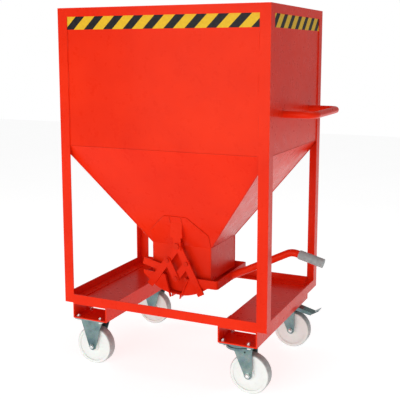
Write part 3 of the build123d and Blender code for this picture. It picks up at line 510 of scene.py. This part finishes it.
# Share of the radius and of the height, from the crown to the foot of the skirt
DOME_PROFILE = ((0.35, 0.97), (0.62, 0.86), (0.82, 0.66), (0.90, 0.42), (1.0, 0.36), (1.0, 0.0))


def dome(name, place, outward, radius, height, body):
    """A turned cap with a skirt, a shoulder and a domed crown."""
    bm = bmesh.new()
    tip = bm.verts.new((place.x, place.y + outward * height, place.z))
    rings = []
    for reach, rise in DOME_PROFILE:
        ring = []
        for index in range(DOME_SIDES):
            angle = 2 * math.pi * index / DOME_SIDES
            across, up = radius * reach * math.cos(angle), radius * reach * math.sin(angle)
            ring.append(bm.verts.new((place.x + across, place.y + outward * height * rise, place.z + up)))
        rings.append(ring)
    for index in range(DOME_SIDES):
        following = (index + 1) % DOME_SIDES
        bm.faces.new((tip, rings[0][index], rings[0][following]))
        for one, two in zip(rings, rings[1:]):
            bm.faces.new((one[index], two[index], two[following], one[following]))
    bm.faces.new(rings[-1])
    obj = mesh_object(name, bm, BRIGHT_ZINC, body)


AXLE_ENDS = (
    ("front_left", "wheel_front_left", "bin"), ("rear_left", "wheel_rear_left", "bin"),
    ("front_right", "wheel_front_right", "swivel_front"), ("rear_right", "wheel_rear_right", "swivel_rear"),
)
axle_reach = (high("swivel_axle_front").y - low("swivel_axle_front").y) / 2
for name in ("fixed_axles", "swivel_axle_front", "swivel_axle_rear", "castor_bolts"):
    dress(NODES[name], BRIGHT_ZINC)
for place, tyre, body in AXLE_ENDS:
    hub = centre(tyre)
    for outward, word in ((-1, "outer"), (1, "inner")):
        face = Vector((hub.x, hub.y + outward * (axle_reach - CAP_SEAT), hub.z))
        dome(f"axle_cap_{place}_{word}", face, outward, CAP_RADIUS, CAP_HEIGHT, body)

# ---- Stage, light and camera ----

SKY_LIGHT = 0.34
FLOOR_GLOW = 0.76
FLOOR_HALF = 9.0
SENSOR_WIDTH = 36.0
LENS = 68.16
CAMERA_SHIFT = -0.08        # moves the object up in the picture
CAMERA_PLACE = (1.272, -2.856, 1.300)
CAMERA_DOWN = 8.717         # degrees below the horizon
CAMERA_TURN = 24.689        # degrees from straight ahead
AIM = (BIN_X, 0, 0.8)
# Name, place, width and height, and power of each light
LIGHTS = (
    ("key", (-1.1, -4.4, 1.5), (2.6, 2.6), 58),
    ("fill", (0.9, -4.0, 0.7), (1.6, 1.6), 34),
    ("top", (0.2, 0.3, 4.2), (3.0, 3.0), 34),
)


def area_light(name, place, target, size, power):
    data = bpy.data.lights.new(name, "AREA")
    data.shape = "RECTANGLE"
    data.size, data.size_y = size
    data.energy = power
    lamp = bpy.data.objects.new(name, data)
    bpy.context.scene.collection.objects.link(lamp)
    lamp.location = place
    lamp.rotation_euler = (Vector(target) - Vector(place)).to_track_quat("-Z", "Y").to_euler()


def floor():
    bm = bmesh.new()
    bmesh.ops.create_grid(bm, x_segments=1, y_segments=1, size=FLOOR_HALF)
    mesh = bpy.data.meshes.new("floor")
    bm.to_mesh(mesh)
    bm.free()
    obj = bpy.data.objects.new("floor", mesh)
    bpy.context.scene.collection.objects.link(obj)
    made, tree, shader, where = material("floor_pale")
    shade = noise(tree, where.outputs["Object"], 1.5, 2.0)
    wire(tree, shader, Base_Color=mix(tree, shade, grey(0.52), grey(0.56)), Roughness=0.85)
    wire(tree, shader, Emission_Color=(1.0, 1.0, 1.0, 1.0), Emission_Strength=FLOOR_GLOW)
    mesh.materials.append(made)


def world():
    """A soft even sky for light, seen by the camera as a plain white backdrop."""
    made = bpy.data.worlds.new("studio")
    made.use_nodes = True
    tree = made.node_tree
    background = tree.nodes["Background"]
    path = add(tree, "ShaderNodeLightPath")
    strength = span(tree, path.outputs["Is Camera Ray"], 0.0, 1.0, SKY_LIGHT, 1.0)
    wire(tree, background, Color=(1.0, 1.0, 1.0, 1.0), Strength=strength)
    bpy.context.scene.world = made


def camera():
    """A standing viewpoint in front and to the right, looking slightly down."""
    data = bpy.data.cameras.new("camera")
    data.sensor_width = SENSOR_WIDTH
    data.lens = LENS
    data.shift_y = CAMERA_SHIFT
    data.dof.use_dof = False
    obj = bpy.data.objects.new("camera", data)
    obj.location = CAMERA_PLACE
    obj.rotation_euler = (math.radians(90 - CAMERA_DOWN), 0.0, math.radians(CAMERA_TURN))
    bpy.context.scene.collection.objects.link(obj)
    bpy.context.scene.camera = obj


floor()
world()
for name, place, size, power in LIGHTS:
    area_light(name, place, AIM, size, power)
camera()
bpy.context.scene.view_settings.view_transform = "Standard"
